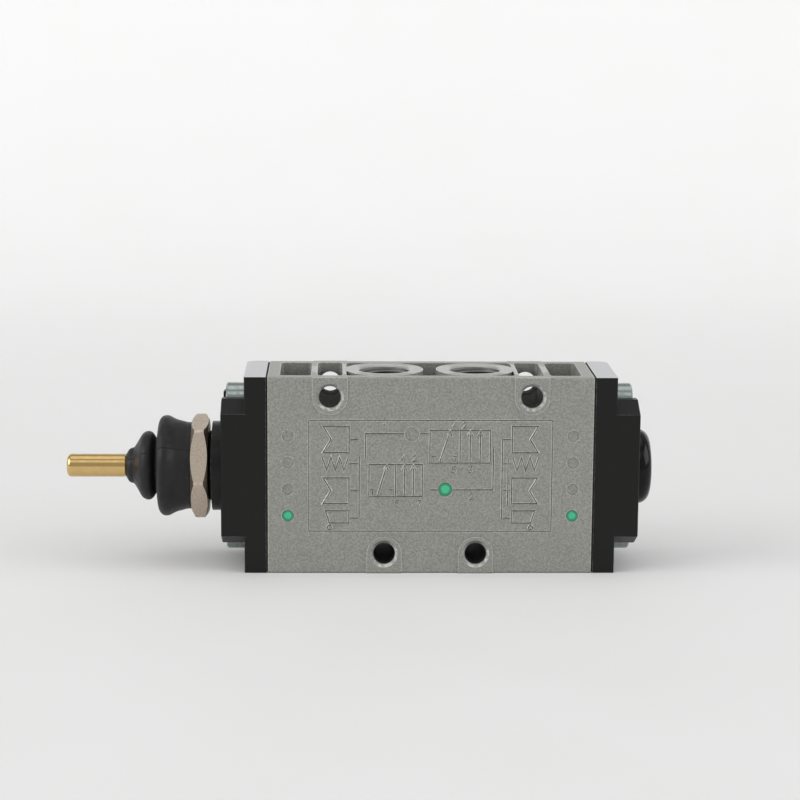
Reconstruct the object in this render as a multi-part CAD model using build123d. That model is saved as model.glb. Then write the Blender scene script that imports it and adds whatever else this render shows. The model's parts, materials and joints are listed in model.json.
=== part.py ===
from build123d import *
from math import cos, pi, radians, sin, sqrt, tan
import os

os.makedirs("parts", exist_ok=True)

# A five-port, three-position air valve worked by a hand lever.
# X runs along the spool, with the lever at -X. Z is up. The origin is the mouth of the middle
# port underneath. A "station" is a distance from the middle of the body along X.

# ---------------------------------------------------------------- driving dimensions, mm
# Body casting
body_length = 83.0
body_width = 26.0
body_height = 51.0
casting_edge = 0.5
side_wall = 3.0
end_wall = 3.0
pocket_corner = 1.0
rib_thickness = 1.6
inner_rib_thickness = 1.0

# Ports: G 1/4 at its full thread diameter
port_pitch = 23.5
port_thread_diameter = 13.16
port_thread_depth = 12.0
port_chamfer = 0.45
port_ring_diameter = 20.2
port_drill_diameter = 8.5

# Mounting holes, drilled from front to back
upper_hole_spacing = 51.4
mount_hole_diameter = 5.5
mount_hole_chamfer = 0.8
mount_hole_edge = 5.1
hole_pocket_width = 6.4
pad_radius = 4.5
pad_height = 0.3

# Marks sunk in the front face
mark_diameter = 3.1
mark_depth = 0.35
mark_pitch = 6.93
mark_station = 36.4
panel_length = 62.4
panel_height = 29.2
panel_groove = 0.3
circuit_marks = ((-4.8, 36.4), (3.8, 22.0))
circuit_mark_diameter = 3.7

# Spool bore and the stack of cages and seals in it
bore_diameter = 18.0
tube_wall = 4.0
seat_diameter = 22.4
seal_width = 2.4
seal_lip_width = 0.9
seal_relief = 0.5
cage_wall = 2.7
cage_groove_depth = 0.8
cage_groove_width = 6.0
cage_window = 4.2
cage_window_count = 6
retaining_ring_thickness = 1.0
retaining_ring_width = 1.9
retaining_groove_depth = 0.6

# Spool
land_diameter = 11.0
waist_diameter = 8.0
land_overlap = 1.0
land_ramp = 0.8
end_land_length = 7.0
end_land_inset = 3.0
drive_tail_diameter = 7.0
detent_tail_diameter = 9.0

# End caps
gasket_thickness = 0.5
gasket_inset = 0.3
plate_thickness = 5.5
block_thickness = 6.0
block_height = 37.8
block_side_height = 31.8
block_top_width = 14.0
cap_back_radius = 2.5
cap_edge = 0.4
cap_screw_offset = 17.7
collar_diameter = 23.2
collar_length = 2.6
neck_diameter = 18.0
neck_length = 8.7
neck_bore_diameter = 15.4
neck_chamfer = 0.6
cavity_width = 19.0
cavity_height = 23.6
cavity_corner = 5.0
cavity_floor = 2.0

# Cap screws, M5 socket head
screw_diameter = 5.0
screw_length = 16.0
screw_head_diameter = 8.5
screw_head_height = 5.0
screw_socket = 4.0
screw_socket_depth = 2.5
screw_clearance_diameter = 5.5
screw_boss_diameter = 8.0

# Panel nut, inside the body's width by this much on each side
nut_inset = 1.0
nut_thickness = 4.3
nut_corner_trim = 0.25
nut_stand_off = 0.95
nut_turn = 38.5

# Rubber boot, from its foot on the nut to its lip on the lever
boot_length = 17.4
boot_foot_diameter = 22.5
boot_roll_overhang = 0.075
boot_roll_station = 6.5
boot_shoulder_station = 8.6
boot_waist_diameter = 14.2
boot_bulb_diameter = 17.7
boot_bulb_station = 11.7
boot_throat_diameter = 9.6
boot_throat_station = 14.6
boot_lip_diameter = 9.1
boot_wall = 1.2

# Lever
lever_diameter = 6.0
lever_tip_station = 93.85
lever_tip_radius = 1.2
lever_shank_diameter = 5.0
lever_tilt = 15.0
crank_arm = 8.0
arm_width = 5.8
arm_thickness = 5.2
hub_diameter = 6.6
pivot_pin_diameter = 3.0
crank_pin_diameter = 3.0

# Pivot carrier and spool yoke
carrier_side_wall = 2.4
carrier_top_wall = 1.0
yoke_thickness = 1.5
yoke_base_thickness = 1.8
yoke_height = 10.0
yoke_foot = 4.5
yoke_tine = 1.3
yoke_screw_diameter = 3.0
yoke_screw_head_diameter = 5.6
yoke_screw_length = 8.0

# Detent
detent_ball_diameter = 3.0
detent_ball_count = 3
detent_groove_depth = 0.35
detent_housing_diameter = 19.9
detent_spring_width = 1.6
detent_spring_thickness = 0.6
detent_spring_opening = 6.0

# End plug, its dome inside the detent housing's width by this much on each side
plug_inset = 0.2
plug_height = 3.9
plug_edge_radius = 3.0
plug_rim = 1.25
plug_bore_length = 3.85
plug_shank_length = 3.2
plug_recess_diameter = 11.0
plug_skin = 2.4

# Clearances
running_gap = 0.05      # shafts, pins and slots that move on each other, on the radius
seated_gap = 0.05       # pieces that sit against each other
side_gap = 0.2          # flat sides that slide past each other
travel_gap = 0.15       # left over at the end of a stroke
thread_gap = 0.05       # between a screw and its tapped hole, on the radius

# ---------------------------------------------------------------- worked out from them
axis_z = body_height / 2
half_width = body_width / 2
face = body_length / 2
cap_seat = face + gasket_thickness
plate_face = cap_seat + plate_thickness
block_face = plate_face + block_thickness
collar_face = block_face + collar_length
neck_end = collar_face + neck_length
floor_station = block_face - cavity_floor

bore_radius = bore_diameter / 2
tube_radius = bore_radius + tube_wall
land_radius = land_diameter / 2
pocket_half_width = half_width - side_wall
pocket_end = face - end_wall
hole_station = upper_hole_spacing / 2
hole_pocket_inner = hole_station - hole_pocket_width / 2
hole_pocket_outer = hole_station + hole_pocket_width / 2
end_pocket_start = hole_pocket_outer + rib_thickness
port_pocket_end = hole_pocket_inner - inner_rib_thickness
upper_hole_z = body_height - mount_hole_edge
lower_hole_z = mount_hole_edge
lower_hole_station = port_pitch / 2
top_ports = (-port_pitch / 2, port_pitch / 2)
bottom_ports = (-port_pitch, 0.0, port_pitch)
row_pitch = port_pitch / 2

seal_places = [row_pitch * (k - 2.5) for k in range(6)]
cage_places = [row_pitch * (k - 2) for k in range(5)]
cage_length = row_pitch - seal_width - 2 * seated_gap
stack_end = seal_places[-1] + seal_width / 2 + seated_gap
ring_radius = bore_radius - seated_gap

stroke = crank_arm * sin(radians(lever_tilt))
slot_half = crank_pin_diameter / 2 + running_gap
pivot_station = floor_station - slot_half - yoke_tine - stroke - travel_gap
yoke_face = pivot_station - hub_diameter / 2 - stroke - travel_gap
yoke_back = yoke_face - yoke_base_thickness
seat_station = yoke_back - stroke - travel_gap
groove_end = seat_station - retaining_ring_thickness / 2
groove_start = groove_end - retaining_ring_thickness - 2 * seated_gap

carrier_half_width = cavity_width / 2 - seated_gap
carrier_half_height = cavity_height / 2 - seated_gap
carrier_inner_half_width = carrier_half_width - carrier_side_wall
carrier_inner_half_height = carrier_half_height - carrier_top_wall
cheek_inner = arm_width / 2 + side_gap
cheek_outer = cheek_inner + yoke_thickness

land_half = row_pitch / 2 + land_overlap
end_land_start = seal_places[-1] - end_land_inset
end_land_end = end_land_start + end_land_length

housing_start = face + seated_gap
housing_floor = block_face - plug_bore_length
detent_station = (housing_start + housing_floor) / 2
ball_orbit = (detent_tail_diameter + detent_ball_diameter) / 2 + running_gap
ball_crown = ball_orbit + detent_ball_diameter / 2
spring_radius = ball_crown + running_gap
spring_groove_floor = ball_crown - detent_spring_thickness
tail_end = detent_station + stroke + detent_ball_diameter / 2

plug_diameter = detent_housing_diameter - 2 * plug_inset
plug_bore_diameter = plug_diameter - 2 * plug_rim

nut_across_flats = body_width - 2 * nut_inset
nut_start = collar_face + nut_stand_off
boot_roll_diameter = body_width + 2 * boot_roll_overhang
boot_foot = nut_start + nut_thickness + seated_gap
shoulder_station = boot_foot + boot_length + seated_gap


# ---------------------------------------------------------------- helpers
def block(x, y, z):
    """A box between two values on each axis."""
    middle = [(low + high) / 2 for low, high in (x, y, z)]
    size = [high - low for low, high in (x, y, z)]
    return Pos(*middle) * Box(*size)


def rod_x(radius, start, end, y=0.0, z=axis_z):
    """A cylinder along X between two stations."""
    return Pos((start + end) / 2, y, z) * Rot(0, 90, 0) * Cylinder(radius, abs(end - start))


def rod_y(radius, start, end, x, z):
    """A cylinder along Y."""
    return Pos(x, (start + end) / 2, z) * Rot(90, 0, 0) * Cylinder(radius, abs(end - start))


def rod_z(radius, start, end, x, y=0.0):
    """A cylinder along Z."""
    return Pos(x, y, (start + end) / 2) * Cylinder(radius, abs(end - start))


def turned(points):
    """A solid turned about the spool axis from (station, radius) corners."""
    profile = Plane.XZ * make_face(Polyline(*points, close=True))
    return Pos(0, 0, axis_z) * revolve(profile, Axis.X)


def ring(outer, inner, start, end):
    """A plain ring about the spool axis."""
    return turned([(start, inner), (end, inner), (end, outer), (start, outer)])


def mirrored(shape):
    """The same piece for the lever end."""
    return mirror(shape, Plane.YZ)


def both_ends(shape):
    return shape + mirrored(shape)


def write(shape, node):
    export_step(shape, f"parts/{node}.step")


# ---------------------------------------------------------------- body
def pad(x, z, edge_z):
    """A slightly raised pad round a mounting hole, open to the nearest long edge."""
    reach = half_width + pad_height
    low, high = sorted((z, edge_z))
    shape = rod_y(pad_radius, -reach, reach, x, z)
    return shape + block((x - pad_radius, x + pad_radius), (-reach, reach), (low, high))


def plan_pocket(start, end):
    """The plan of an open pocket between two stations."""
    plan = Pos((start + end) / 2, 0) * Rectangle(end - start, 2 * pocket_half_width)
    return fillet(plan.vertices(), pocket_corner)


def port_surround(ports):
    """The rings round a row of ports, in plan."""
    return [Pos(x, 0) * Circle(port_ring_diameter / 2) for x in ports]


def top_plan():
    """The pockets cored into the top: ends, round the mounting holes, and between the ports."""
    plan = plan_pocket(-port_pocket_end, port_pocket_end)
    for circle in port_surround(top_ports):
        plan -= circle
    for start, end in ((hole_pocket_inner, hole_pocket_outer), (end_pocket_start, pocket_end)):
        plan += plan_pocket(start, end)
        plan += plan_pocket(-end, -start)
    return plan


def bottom_plan():
    """The pockets underneath: beside the three ports, clear of the webs round the holes."""
    plan = plan_pocket(-pocket_end, pocket_end)
    for circle in port_surround(bottom_ports):
        plan -= circle
    for x in (-lower_hole_station, lower_hole_station):
        plan -= Pos(x, 0) * Rectangle(2 * pad_radius, body_width)
    return plan


def port(x, side):
    """A tapped port with its mouth chamfer and the drilling on to the spool bore."""
    mouth = body_height if side > 0 else 0.0
    radius = port_thread_diameter / 2
    floor = mouth - side * port_thread_depth
    shape = rod_z(radius, floor, mouth, x)
    shape += rod_z(port_drill_diameter / 2, axis_z, floor, x)
    lip = Cone(radius, radius + port_chamfer, port_chamfer)
    turn = Rot(0 if side > 0 else 180, 0, 0)
    return shape + Pos(x, 0, mouth - side * port_chamfer / 2) * turn * lip


def mount_hole(x, z):
    """A hole from front to back, chamfered at both faces."""
    radius = mount_hole_diameter / 2
    reach = half_width + pad_height
    shape = rod_y(radius, -reach, reach, x, z)
    for side in (-1, 1):
        lip = Cone(radius, radius + mount_hole_chamfer, mount_hole_chamfer)
        middle = side * (reach - mount_hole_chamfer / 2)
        shape += Pos(x, middle, z) * Rot(-90 * side, 0, 0) * lip
    return shape


def front_marks():
    """The sunk frame line of the circuit panel and the round position marks."""
    front = -half_width
    depth = (front, front + mark_depth)
    groove_depth = (front, front + panel_groove)
    outer_x = panel_length / 2
    outer_z = panel_height / 2
    outer = block((-outer_x, outer_x), groove_depth, (axis_z - outer_z, axis_z + outer_z))
    inner_x = outer_x - panel_groove
    inner_z = outer_z - panel_groove
    marks = outer - block((-inner_x, inner_x), groove_depth, (axis_z - inner_z, axis_z + inner_z))
    for k in range(4):
        z = axis_z + mark_pitch * (k - 1.5)
        for x in (-mark_station, mark_station):
            marks += rod_y(mark_diameter / 2, *depth, x, z)
    for x, z in circuit_marks:
        marks += rod_y(circuit_mark_diameter / 2, *depth, x, z)
    return marks


def body_casting():
    body = block((-face, face), (-half_width, half_width), (0, body_height))
    body = fillet(body.edges().filter_by(Axis.X), casting_edge)
    holes = []
    for x in (-hole_station, hole_station):
        body += pad(x, upper_hole_z, body_height)
        holes.append(mount_hole(x, upper_hole_z))
    for x in (-lower_hole_station, lower_hole_station):
        body += pad(x, lower_hole_z, 0)
        holes.append(mount_hole(x, lower_hole_z))

    # Cored pockets, which leave the spool tube and the screw bosses standing.
    cores = extrude(Pos(0, 0, axis_z) * top_plan(), axis_z)
    cores += extrude(bottom_plan(), axis_z)
    cores -= rod_x(tube_radius, -face, face)
    for z in (axis_z - cap_screw_offset, axis_z + cap_screw_offset):
        boss = rod_x(screw_boss_diameter / 2, end_pocket_start, face, z=z)
        cores -= both_ends(boss)
    body -= cores

    body -= rod_x(bore_radius, -face, face)
    seat = rod_x(seat_diameter / 2, seat_station, face)
    body -= both_ends(seat)
    groove = rod_x(bore_radius + retaining_groove_depth, groove_start, groove_end)
    body -= mirrored(groove)
    for x in top_ports:
        body -= port(x, 1)
    for x in bottom_ports:
        body -= port(x, -1)
    for hole in holes:
        body -= hole
    tap_end = plate_face - screw_length - thread_gap
    for z in (axis_z - cap_screw_offset, axis_z + cap_screw_offset):
        tap = rod_x(screw_diameter / 2 + thread_gap, tap_end, face, z=z)
        body -= both_ends(tap)
    return body - front_marks()


# ---------------------------------------------------------------- end caps and their seals
def cavity(start, end, half_wide, half_high, corner):
    """An upright round-cornered recess about the spool axis."""
    outline = RectangleRounded(2 * half_wide, 2 * half_high, corner)
    plane = Plane((start, 0, axis_z), x_dir=(0, 1, 0), z_dir=(1, 0, 0))
    return extrude(plane * outline, end - start)


def lever_cavity(start, end):
    return cavity(start, end, cavity_width / 2, cavity_height / 2, cavity_corner)


def screw_holes(start, end):
    radius = screw_clearance_diameter / 2
    low = rod_x(radius, start, end, z=axis_z - cap_screw_offset)
    return low + rod_x(radius, start, end, z=axis_z + cap_screw_offset)


def gasket(opening):
    """A flat gasket for the right end, a little inside the body's outline."""
    reach = half_width - gasket_inset
    shape = block((face, cap_seat), (-reach, reach), (gasket_inset, body_height - gasket_inset))
    return shape - opening - screw_holes(face, cap_seat)


def cap_blank():
    """The plate and the raised block of an end cap, for the right end.

    The block starts inside the plate's rounded edges, so the two are flush at front and back.
    """
    plate = block((cap_seat, plate_face), (-half_width, half_width), (0, body_height))
    outer_edges = plate.edges().group_by(Axis.X)[-1]
    back = outer_edges.sort_by(Axis.Y)[-1]
    plate = fillet(back, cap_back_radius)
    front_edges = plate.edges().group_by(Axis.X)[-1].sort_by(Axis.Y)[0]
    plate = fillet(front_edges, cap_edge)

    side = block_side_height / 2
    top = block_height / 2
    flat = block_top_width / 2
    quarter = [(half_width, side), (flat, top)]
    corners = quarter + [(-y, z) for y, z in reversed(quarter)]
    corners += [(-y, -z) for y, z in quarter] + [(y, -z) for y, z in reversed(quarter)]
    root = plate_face - cap_back_radius
    plane = Plane((root, 0, axis_z), x_dir=(0, 1, 0), z_dir=(1, 0, 0))
    raised = extrude(plane * make_face(Polyline(*corners, close=True)), block_face - root)
    raised = fillet(raised.edges().group_by(Axis.X)[-1], cap_edge)

    notch_radius = screw_head_diameter / 2 + 2 * side_gap
    for direction in (-1, 1):
        z = axis_z + direction * cap_screw_offset
        low, high = sorted((z, z + direction * cap_screw_offset))
        raised -= rod_x(notch_radius, plate_face, block_face, z=z)
        raised -= block((plate_face, block_face), (-notch_radius, notch_radius), (low, high))
    return plate + raised - screw_holes(cap_seat, plate_face)


def lever_end_cap():
    """The cap with the threaded neck and the cavity that holds the lever's pivot."""
    cap = cap_blank()
    cap += rod_x(collar_diameter / 2, block_face, collar_face)
    neck_radius = neck_diameter / 2
    neck = rod_x(neck_radius, collar_face, neck_end)
    rim = neck.edges().group_by(Axis.X)[-1]
    cap += chamfer(rim, neck_chamfer)
    cap -= rod_x(neck_bore_diameter / 2, floor_station, neck_end)
    cap -= lever_cavity(cap_seat, floor_station)
    return mirrored(cap)


def plug_end_cap():
    """The cap that holds the detent and the end plug."""
    cap = cap_blank()
    cap -= rod_x(detent_housing_diameter / 2 + seated_gap, cap_seat, housing_floor)
    return cap - rod_x(plug_bore_diameter / 2, housing_floor, block_face)


def cap_screws():
    """Two socket head screws, one above and one below the spool, for the right end."""
    screws = []
    for z in (axis_z - cap_screw_offset, axis_z + cap_screw_offset):
        head_end = plate_face + screw_head_height
        head = rod_x(screw_head_diameter / 2, plate_face, head_end, z=z)
        head = chamfer(head.edges().group_by(Axis.X)[-1], cap_edge)
        plane = Plane((head_end, 0, z), x_dir=(0, 1, 0), z_dir=(1, 0, 0))
        socket = RegularPolygon(screw_socket / sqrt(3), 6)
        head -= extrude(plane * socket, -screw_socket_depth)
        screws.append(head + rod_x(screw_diameter / 2, plate_face - screw_length, plate_face, z=z))
    return screws


def panel_nut():
    """A hexagon nut of drawn bar, chamfered at both faces, on the neck's thread."""
    nut_end = nut_start + nut_thickness
    plane = Plane((nut_start, 0, axis_z), x_dir=(0, 0, 1), z_dir=(1, 0, 0))
    corner = nut_across_flats / sqrt(3)
    hexagon = Rot(0, 0, nut_turn) * RegularPolygon(corner, 6)
    nut = extrude(plane * hexagon, nut_thickness)
    flat = nut_across_flats / 2
    reach = corner - nut_corner_trim
    rise = (reach - flat) * tan(radians(30))
    nut &= turned([
        (nut_start, 0), (nut_start, flat), (nut_start + rise, reach),
        (nut_end - rise, reach), (nut_end, flat), (nut_end, 0),
    ])
    hole = neck_diameter / 2 + thread_gap
    lip = neck_chamfer
    nut -= turned([
        (nut_start, 0), (nut_start, hole + lip), (nut_start + lip, hole),
        (nut_end - lip, hole), (nut_end, hole + lip), (nut_end, 0),
    ])
    return mirrored(nut)


def lever_boot():
    """A hollow rubber boot: a wide rolled skirt on the neck and a bulb with a lip on the lever.

    Its outer line is a chain of arcs, and its inner line runs straight one wall inside their ends.
    """
    foot = boot_foot_diameter / 2
    roll = boot_roll_diameter / 2
    waist = boot_waist_diameter / 2
    bulb = boot_bulb_diameter / 2
    throat = boot_throat_diameter / 2
    lip = boot_lip_diameter / 2
    neck = neck_diameter / 2 + seated_gap
    hole = lever_shank_diameter / 2 + running_gap
    roll_x = boot_foot + boot_roll_station
    waist_x = boot_foot + boot_shoulder_station
    bulb_x = boot_foot + boot_bulb_station
    throat_x = boot_foot + boot_throat_station
    lip_end = boot_foot + boot_length
    grip_end = neck_end - boot_wall / 2
    inner_throat_x = throat_x - boot_wall
    turn = waist_x - roll_x
    turn_middle = (roll_x + turn * sin(pi / 4), roll - turn * (1 - cos(pi / 4)))
    line = Line((boot_foot, foot), (roll_x, roll))
    line += ThreePointArc((roll_x, roll), turn_middle, (waist_x, roll - turn))
    line += Line((waist_x, roll - turn), (waist_x, waist))
    line += ThreePointArc((waist_x, waist), (bulb_x, bulb), (throat_x, throat))
    line += Polyline((throat_x, throat), (throat_x + boot_wall / 2, lip), (lip_end, lip), (lip_end, hole))
    line += Polyline(
        (lip_end, hole), (inner_throat_x, hole), (inner_throat_x, throat - boot_wall),
        (bulb_x, bulb - boot_wall), (waist_x, waist - boot_wall),
        (waist_x - boot_wall, waist), (waist_x - boot_wall, roll - turn),
        (roll_x, roll - boot_wall), (grip_end + boot_wall, foot - boot_wall),
        (grip_end, neck), (boot_foot, neck), (boot_foot, foot),
    )
    profile = Plane.XZ * make_face(line)
    return mirrored(Pos(0, 0, axis_z) * revolve(profile, Axis.X))


# ---------------------------------------------------------------- lever and drive
def lever_rod():
    """The lever: a round rod with a cross hub at its pivot and a crank arm above it.

    The boot's lip sits on the thinner shank, against the shoulder of the thicker end.
    """
    grip = lever_diameter / 2
    shank = lever_shank_diameter / 2
    rod = turned([
        (pivot_station, 0), (pivot_station, shank), (shoulder_station, shank),
        (shoulder_station, grip), (lever_tip_station, grip), (lever_tip_station, 0),
    ])
    rod = fillet(rod.edges().group_by(Axis.X)[-1], lever_tip_radius)
    hub_half = carrier_inner_half_width - side_gap
    rod += rod_y(hub_diameter / 2, -hub_half, hub_half, pivot_station, axis_z)
    crank_z = axis_z + crank_arm
    half_thick = arm_thickness / 2
    half_wide = arm_width / 2
    arm_x = (pivot_station - half_thick, pivot_station + half_thick)
    rod += block(arm_x, (-half_wide, half_wide), (axis_z, crank_z))
    rod += rod_y(half_thick, -half_wide, half_wide, pivot_station, crank_z)
    pin_hole = pivot_pin_diameter / 2 + running_gap
    rod -= rod_y(pin_hole, -hub_half, hub_half, pivot_station, axis_z)
    rod -= rod_y(crank_pin_diameter / 2, -half_wide, half_wide, pivot_station, crank_z)
    return mirrored(rod)


def pivot_pin():
    reach = carrier_half_width
    return rod_y(pivot_pin_diameter / 2, -reach, reach, -pivot_station, axis_z)


def crank_pin():
    reach = cheek_outer + side_gap
    return rod_y(crank_pin_diameter / 2, -reach, reach, -pivot_station, axis_z + crank_arm)


def pivot_carrier():
    """An upright frame in the cap's cavity, clamped by the body, that holds the pivot pin."""
    start = face + seated_gap
    end = floor_station - seated_gap
    outer = cavity(start, end, carrier_half_width, carrier_half_height, cavity_corner - seated_gap)
    inner_corner = cavity_corner - seated_gap - carrier_side_wall
    inner = cavity(start, end, carrier_inner_half_width, carrier_inner_half_height, inner_corner)
    hole = rod_y(pivot_pin_diameter / 2, -half_width, half_width, pivot_station, axis_z)
    return mirrored(outer - inner - hole)


def yoke_screw_shape(clearance):
    """The countersunk screw, or the hole for it."""
    shank = yoke_screw_diameter / 2 + clearance
    head = yoke_screw_head_diameter / 2 + clearance
    neck = yoke_face - (head - shank)
    end = yoke_face - yoke_screw_length - clearance
    return turned([(end, 0), (yoke_face, 0), (yoke_face, head), (neck, shank), (end, shank)])


def spool_yoke():
    """A bent steel fork: a base on the spool's end and two slotted cheeks round the crank pin."""
    top = axis_z + yoke_height
    cheek_foot = axis_z + hub_diameter / 2 + side_gap
    cheek_end = pivot_station + slot_half + yoke_tine
    base = block((yoke_back, yoke_face), (-cheek_outer, cheek_outer), (axis_z, top))
    foot = rod_x(yoke_foot, yoke_back, yoke_face)
    yoke = base + foot
    for side in (-1, 1):
        low, high = sorted((side * cheek_inner, side * cheek_outer))
        cheek = block((yoke_face, cheek_end), (low, high), (cheek_foot, top))
        yoke += cheek
    slot_floor = axis_z + crank_arm * cos(radians(lever_tilt)) - travel_gap
    slot = rod_y(slot_half, -cheek_outer, cheek_outer, pivot_station, slot_floor)
    slot_x = (pivot_station - slot_half, pivot_station + slot_half)
    slot += block(slot_x, (-cheek_outer, cheek_outer), (slot_floor, top))
    yoke -= slot
    return mirrored(yoke - yoke_screw_shape(running_gap))


def yoke_screw():
    return mirrored(yoke_screw_shape(0))


# ---------------------------------------------------------------- spool and its stack
def spool():
    """Four sealing lands with waists between, a drive tail to the left and a detent tail."""
    waist = waist_diameter / 2
    drive = drive_tail_diameter / 2
    tail = detent_tail_diameter / 2
    inner_start = row_pitch - land_half
    inner_end = row_pitch + land_half
    half = [
        (inner_start - land_ramp, waist), (inner_start, land_radius),
        (inner_end, land_radius), (inner_end + land_ramp, waist),
        (end_land_start - land_ramp, waist), (end_land_start, land_radius),
        (end_land_end, land_radius),
    ]
    left = [(-x, r) for x, r in reversed(half)]
    points = [(-yoke_back, 0), (-yoke_back, drive), (-end_land_end, drive)]
    points += left + half
    points += [(end_land_end, tail), (tail_end, tail), (tail_end, 0)]
    shape = turned(points)
    for k in (-1, 0, 1):
        middle = detent_station + k * stroke
        reach = detent_groove_depth
        shape -= turned([
            (middle - 2 * reach, tail), (middle, tail - reach), (middle + 2 * reach, tail),
        ])
    return shape - mirrored(yoke_screw_shape(thread_gap))


def seal_cage(place):
    """A cage between two seals, with square windows all round for the air."""
    half = cage_length / 2
    groove = cage_groove_width / 2
    inner = ring_radius - cage_wall
    shape = ring(ring_radius, inner, place - half, place + half)
    shape -= ring(bore_radius, ring_radius - cage_groove_depth, place - groove, place + groove)
    edge = cage_window / 2
    for k in range(cage_window_count):
        window = block((place - edge, place + edge), (-edge, edge), (0, bore_radius))
        shape -= Pos(0, 0, axis_z) * Rot(360 / cage_window_count * k, 0, 0) * window
    return shape


def spool_seal(place):
    """A rubber ring with one rounded lip on the spool."""
    half = seal_width / 2
    lip = seal_lip_width / 2
    inner = land_radius + running_gap
    return turned([
        (place - half, inner + seal_relief), (place - lip, inner), (place + lip, inner),
        (place + half, inner + seal_relief), (place + half, ring_radius), (place - half, ring_radius),
    ])


def lever_guide():
    """The plain guide bush at the lever end."""
    return mirrored(ring(ring_radius, land_radius + running_gap, stack_end, groove_start))


def detent_guide():
    """The flanged guide bush at the detent end, its flange in the body's seat."""
    inner = land_radius + running_gap
    step = seat_station + seated_gap
    flange = seat_diameter / 2 - seated_gap
    return turned([
        (stack_end, inner), (face, inner), (face, flange), (step, flange),
        (step, ring_radius), (stack_end, ring_radius),
    ])


def guide_retaining_ring():
    """An open ring in the bore that holds the lever guide in place."""
    start = groove_start + seated_gap
    end = start + retaining_ring_thickness
    outer = bore_radius + retaining_groove_depth - seated_gap
    shape = ring(outer, bore_radius - retaining_ring_width, start, end)
    gap = retaining_ring_width
    return mirrored(shape - block((start, end), (-gap, gap), (0, axis_z)))


# ---------------------------------------------------------------- detent and plug
def detent_housing():
    """A ring in the plug cap with a radial hole for each ball and a groove for their spring."""
    outer = detent_housing_diameter / 2
    inner = detent_tail_diameter / 2 + 2 * running_gap
    shape = ring(outer, inner, housing_start, housing_floor - seated_gap)
    groove = detent_spring_width / 2 + side_gap
    shape -= ring(outer, spring_groove_floor, detent_station - groove, detent_station + groove)
    for k in range(detent_ball_count):
        hole = rod_z(detent_ball_diameter / 2 + running_gap, 0, outer, detent_station)
        shape -= Pos(0, 0, axis_z) * Rot(360 / detent_ball_count * k, 0, 0) * hole
    return shape


def detent_balls():
    balls = []
    for k in range(detent_ball_count):
        ball = Pos(detent_station, 0, ball_orbit) * Sphere(detent_ball_diameter / 2)
        balls.append(Pos(0, 0, axis_z) * Rot(360 / detent_ball_count * k, 0, 0) * ball)
    return balls


def detent_spring():
    """An open ring of flat spring steel round the balls that presses them on the spool."""
    start = detent_station - detent_spring_width / 2
    end = detent_station + detent_spring_width / 2
    gap = detent_spring_opening / 2
    shape = ring(spring_radius + detent_spring_thickness, spring_radius, start, end)
    return shape - block((start, end), (-gap, gap), (0, axis_z))


def end_plug():
    """A glossy domed plug pressed in the cap, hollow behind for the spool's tail."""
    dome = plug_diameter / 2
    shank = plug_bore_diameter / 2 - seated_gap
    recess = plug_recess_diameter / 2
    start = block_face - plug_shank_length
    head = block_face + seated_gap
    end = head + plug_height
    hollow = end - plug_skin
    shape = turned([
        (start, recess), (hollow, recess), (hollow, 0), (end, 0),
        (end, dome), (head, dome), (head, shank), (start, shank),
    ])
    rim = shape.edges().filter_by(GeomType.CIRCLE).group_by(Axis.X)[-1]
    return fillet(rim, plug_edge_radius)


# ---------------------------------------------------------------- write the pieces
write(body_casting(), "body_casting")
left_gasket = mirrored(gasket(lever_cavity(face, cap_seat)))
right_gasket = gasket(rod_x(detent_housing_diameter / 2 + seated_gap, face, cap_seat))
write(left_gasket, "lever_end_gasket")
write(right_gasket, "plug_end_gasket")
write(lever_end_cap(), "lever_end_cap")
write(plug_end_cap(), "plug_end_cap")
right_screws = cap_screws()
write(Compound([mirrored(screw) for screw in right_screws]), "lever_cap_screws")
write(Compound(right_screws), "plug_cap_screws")
write(panel_nut(), "panel_nut")
write(lever_boot(), "lever_boot")
write(lever_rod(), "lever_rod")
write(pivot_pin(), "pivot_pin")
write(crank_pin(), "crank_pin")
write(pivot_carrier(), "pivot_carrier")
write(spool_yoke(), "spool_yoke")
write(yoke_screw(), "yoke_screw")
write(spool(), "spool")
for number, place in enumerate(cage_places, start=1):
    write(seal_cage(place), f"seal_cage_{number}")
for number, place in enumerate(seal_places, start=1):
    write(spool_seal(place), f"spool_seal_{number}")
write(lever_guide(), "lever_guide")
write(detent_guide(), "detent_guide")
write(guide_retaining_ring(), "guide_retaining_ring")
write(detent_housing(), "detent_housing")
write(Compound(detent_balls()), "detent_balls")
write(detent_spring(), "detent_spring")
write(end_plug(), "end_plug")

print("stroke", round(stroke, 3), "ratio per radian", round(stroke / radians(lever_tilt), 4))
print("pivot station", round(pivot_station, 3))
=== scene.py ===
import json
import math

import bmesh
import bpy
from mathutils import Matrix, Vector


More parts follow.
